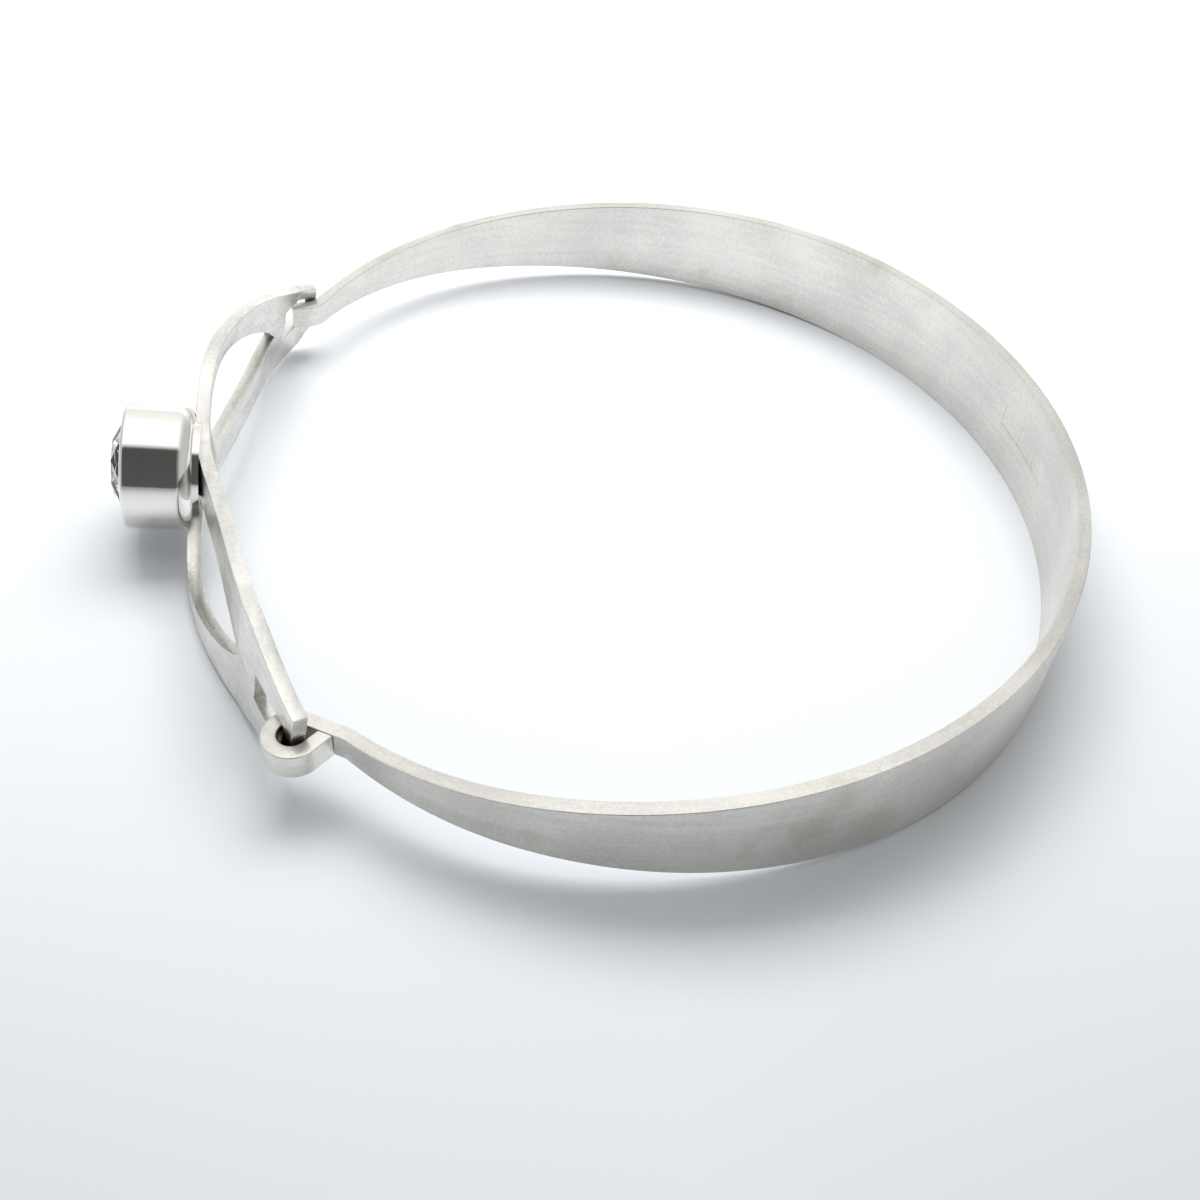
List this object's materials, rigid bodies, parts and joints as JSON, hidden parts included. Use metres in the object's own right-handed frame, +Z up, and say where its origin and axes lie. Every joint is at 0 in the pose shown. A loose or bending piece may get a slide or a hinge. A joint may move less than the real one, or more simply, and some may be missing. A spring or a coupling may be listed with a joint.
{
  "type": "hinged bangle",
  "caption": "oval metal wrist bangle with a pierced front plaque on a side hinge, an open hook clasp and a round stone in a cup",
  "frame": {"origin": "centre of the bangle's box at the height of the surface it lies on", "axes": "+Z up, out of the wrist hollow as the bangle lies on its side; +X from the stone to the back of the wrist; +Y from the hinge to the clasp"},
  "size_m": [0.0618, 0.061, 0.0092],
  "materials": {
    "satin_silver": "satin silver with fine file marks",
    "polished_silver": "polished silver, mirror bright on the cup",
    "clear_stone": "clear faceted stone"
  },
  "bodies": {
    "band": {"back_band": "satin_silver"},
    "plaque": {"front_plaque": "polished_silver", "stone": "clear_stone"}
  },
  "joints": [
    {"name": "plaque_hinge", "type": "hinge", "parent": "band", "child": "plaque", "pos_m": [-0.01851, -0.0232, 0.0037], "axis": [0, 0, 1], "range_deg": [0, 100]}
  ]
}
